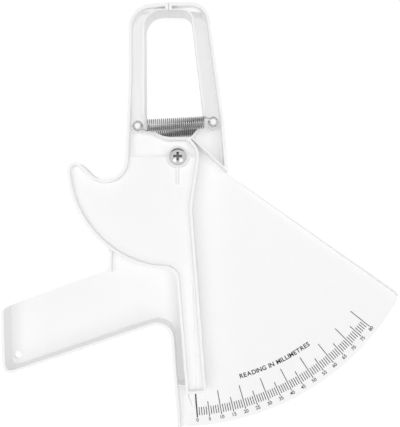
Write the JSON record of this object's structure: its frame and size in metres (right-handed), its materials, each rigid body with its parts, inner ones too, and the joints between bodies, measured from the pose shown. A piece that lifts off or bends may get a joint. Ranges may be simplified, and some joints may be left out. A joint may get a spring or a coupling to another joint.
{
  "type": "skinfold caliper",
  "caption": "Pistol-grip skinfold caliper: a white lever with jaw, trigger and pointer turns over a body with jaw, handle and scale fan, closed by two springs.",
  "frame": {"origin": "pivot axis, in the plane of the body's flat back", "axes": "+Z along the pivot axis towards the front, +Y from the pivot towards the jaws, +X towards the scale fan"},
  "size_m": [0.2834, 0.3036, 0.0359],
  "materials": {
    "white_plastic": "satin moulded",
    "nylon": "satin",
    "pivot_steel": "bright nickel plate",
    "spring_steel": "drawn wire",
    "ink": "printed"
  },
  "bodies": {
    "frame": {"body": "white_plastic", "pivot_barrel": "pivot_steel", "pivot_screw": "pivot_steel", "front_washer": "nylon", "spacer_washer": "nylon", "front_spring": "spring_steel", "rear_spring": "spring_steel", "scale_print": "ink"},
    "lever": {"lever": "white_plastic"}
  },
  "joints": [
    {"name": "lever_swing", "type": "hinge", "parent": "frame", "child": "lever", "pos_m": [0, 0, 0.01], "axis": [0, 0, 1], "range_deg": [0, 44.5], "stiffness_Nm_per_rad": 0.35, "springref_deg": -34.38, "deforming": ["front_spring", "rear_spring"]}
  ]
}
